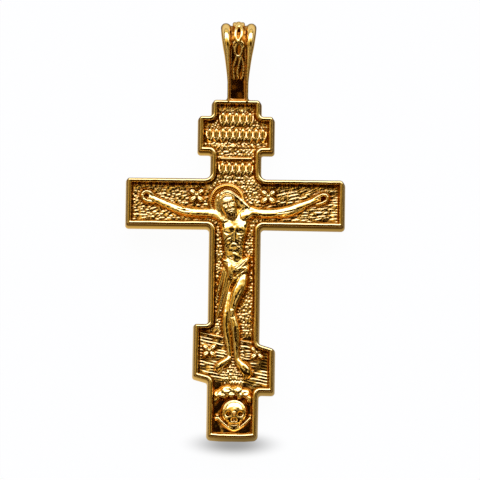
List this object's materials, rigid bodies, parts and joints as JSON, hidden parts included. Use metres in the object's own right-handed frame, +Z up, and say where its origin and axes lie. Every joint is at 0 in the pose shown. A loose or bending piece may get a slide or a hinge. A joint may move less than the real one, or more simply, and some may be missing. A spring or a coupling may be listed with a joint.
{
  "type": "orthodox cross pendant",
  "caption": "Gilt three-barred cross pendant with raised figure relief, raised rim and a ribbed teardrop bail soldered to its top.",
  "frame": {"origin": "middle of the pendant's length and width, on the surface that it lies on", "axes": "+Z up out of the relief face as it lies on its back, +Y along the upright towards the bail, +X to the right of the face"},
  "size_m": [0.0276, 0.0528, 0.0059],
  "materials": {
    "gilt_metal": "polished gilding, bright on the rim and raised forms, darker in the sunk field"
  },
  "bodies": {
    "root": {"cross_pendant": "gilt_metal"}
  },
  "joints": []
}
